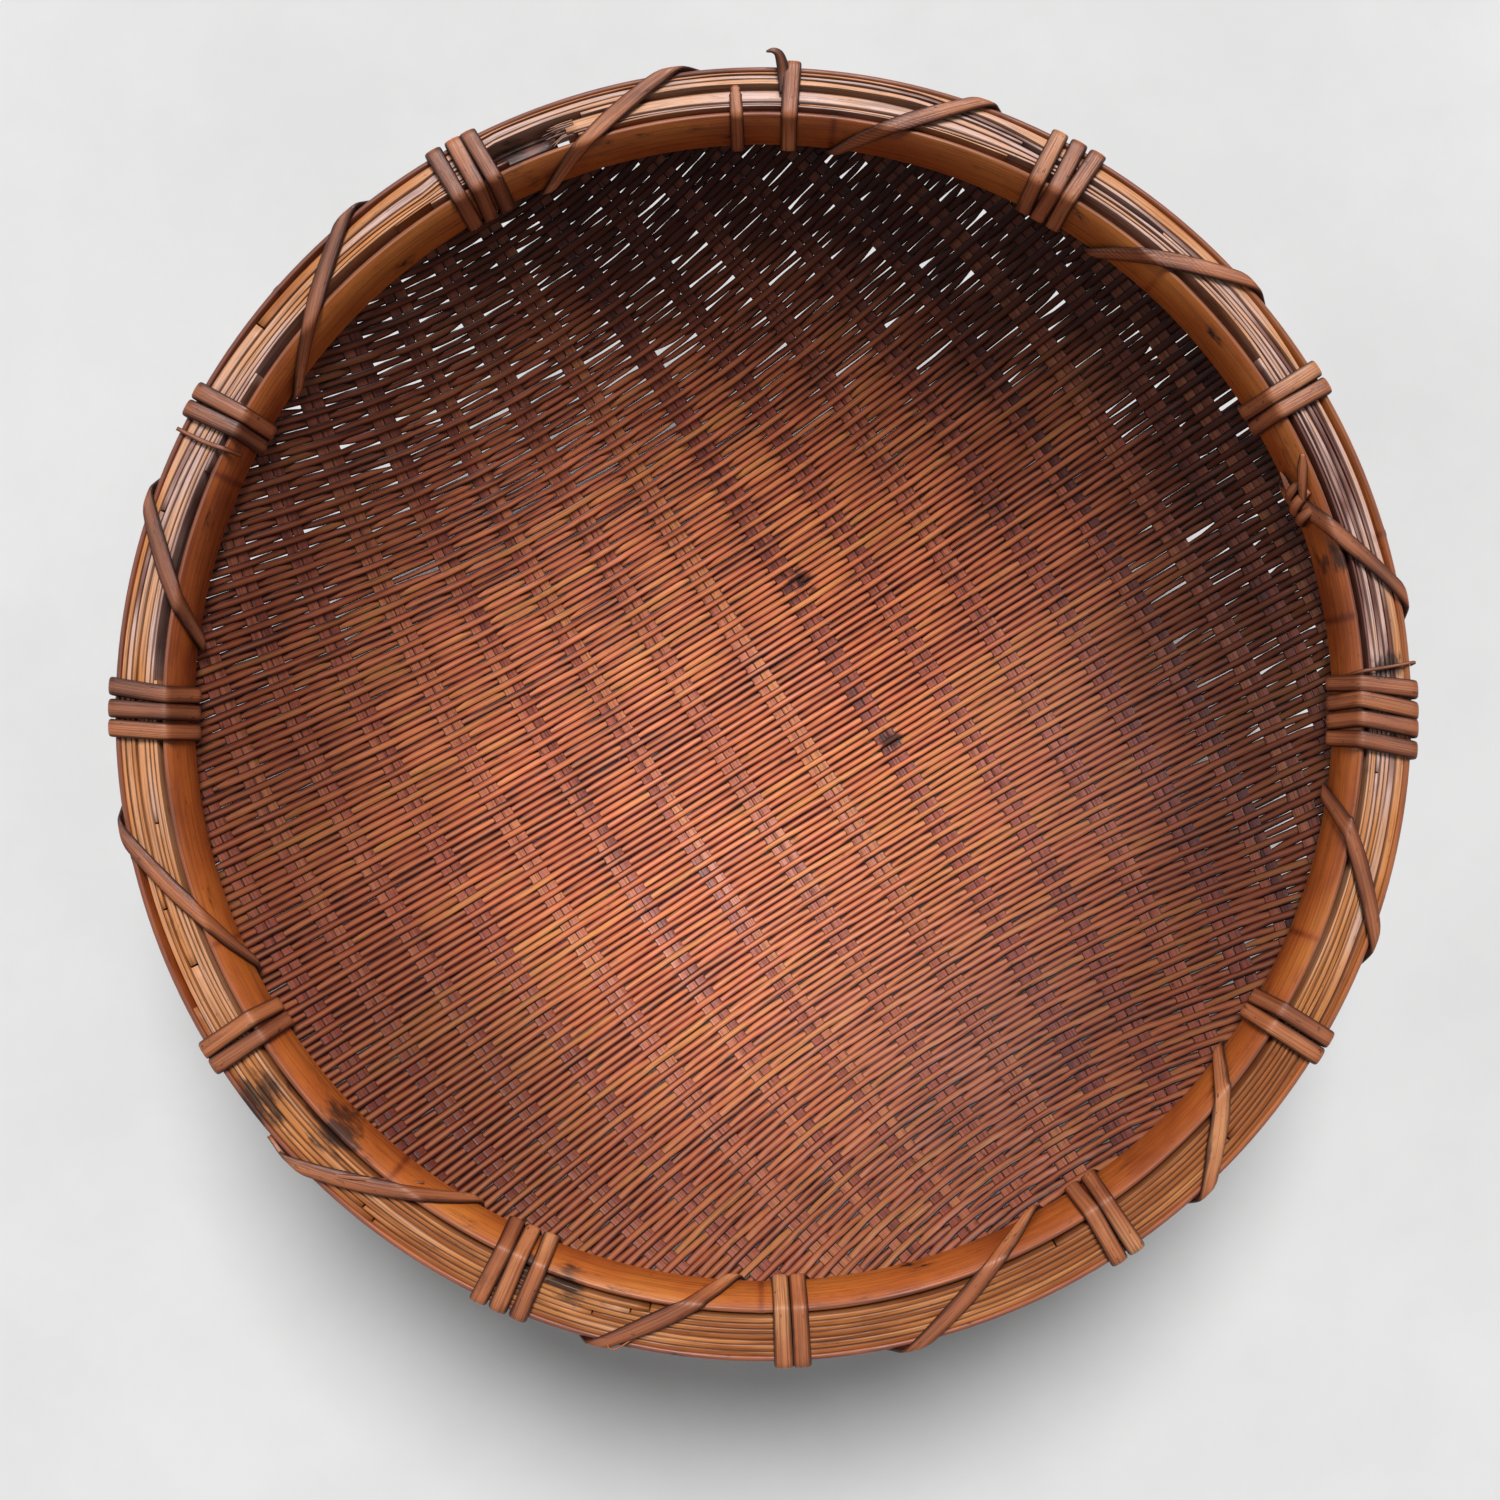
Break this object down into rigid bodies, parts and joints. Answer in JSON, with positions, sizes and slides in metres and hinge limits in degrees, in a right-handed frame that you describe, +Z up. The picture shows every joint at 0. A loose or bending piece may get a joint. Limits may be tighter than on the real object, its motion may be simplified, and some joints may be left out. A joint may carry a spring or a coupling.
{
  "type": "zaru bamboo basket",
  "caption": "Round shallow zaru bowl basket of split bamboo in plain weave, with a hooped rim of thin laths lashed on with rattan strips.",
  "frame": {"origin": "On the basket's axis, in the plane of the flat that it rests on.", "axes": "+Z up out of the bowl; +X to the right of the picture and +Y to its top. The wefts run 31.7 degrees counter-clockwise from +X."},
  "size_m": [0.484, 0.4837, 0.138],
  "materials": {
    "weft_bamboo": "aged, smoked and lacquered bamboo splints, semi-gloss, with dark blotches",
    "warp_bamboo": "dark red-brown bamboo strips, semi-gloss",
    "hoop_bamboo": "orange-brown bamboo bands with nodes and a few burn marks, semi-gloss",
    "lath_bamboo": "golden to pinkish-brown thin laths, satin",
    "rattan": "brown split rattan, satin"
  },
  "bodies": {
    "root": {"weft_mat": "weft_bamboo", "warp_01": "warp_bamboo", "warp_02": "warp_bamboo", "warp_03": "warp_bamboo", "warp_04": "warp_bamboo", "warp_05": "warp_bamboo", "warp_06": "warp_bamboo", "warp_07": "warp_bamboo", "warp_08": "warp_bamboo", "warp_09": "warp_bamboo", "warp_10": "warp_bamboo", "warp_11": "warp_bamboo", "warp_12": "warp_bamboo", "warp_13": "warp_bamboo", "warp_14": "warp_bamboo", "warp_15": "warp_bamboo", "warp_16": "warp_bamboo", "warp_17": "warp_bamboo", "warp_18": "warp_bamboo", "warp_19": "warp_bamboo", "warp_20": "warp_bamboo", "warp_21": "warp_bamboo", "warp_22": "warp_bamboo", "warp_23": "warp_bamboo", "warp_24": "warp_bamboo", "warp_25": "warp_bamboo", "warp_26": "warp_bamboo", "warp_27": "warp_bamboo", "warp_28": "warp_bamboo", "warp_29": "warp_bamboo", "warp_30": "warp_bamboo", "warp_31": "warp_bamboo", "warp_32": "warp_bamboo", "warp_33": "warp_bamboo", "warp_34": "warp_bamboo", "outer_hoop": "hoop_bamboo", "inner_hoop": "hoop_bamboo", "rim_lath_01": "lath_bamboo", "rim_lath_02": "lath_bamboo", "rim_lath_03": "lath_bamboo", "rim_lath_04": "lath_bamboo", "rim_lath_05": "lath_bamboo", "rim_lath_06": "lath_bamboo", "rim_lath_07": "lath_bamboo", "lashing_01": "rattan", "lashing_02": "rattan", "lashing_03": "rattan", "lashing_04": "rattan", "lashing_05": "rattan", "lashing_06": "rattan", "lashing_07": "rattan", "lashing_08": "rattan", "lashing_09": "rattan", "lashing_10": "rattan", "lashing_11": "rattan", "lashing_12": "rattan", "loose_strip": "rattan"}
  },
  "joints": []
}
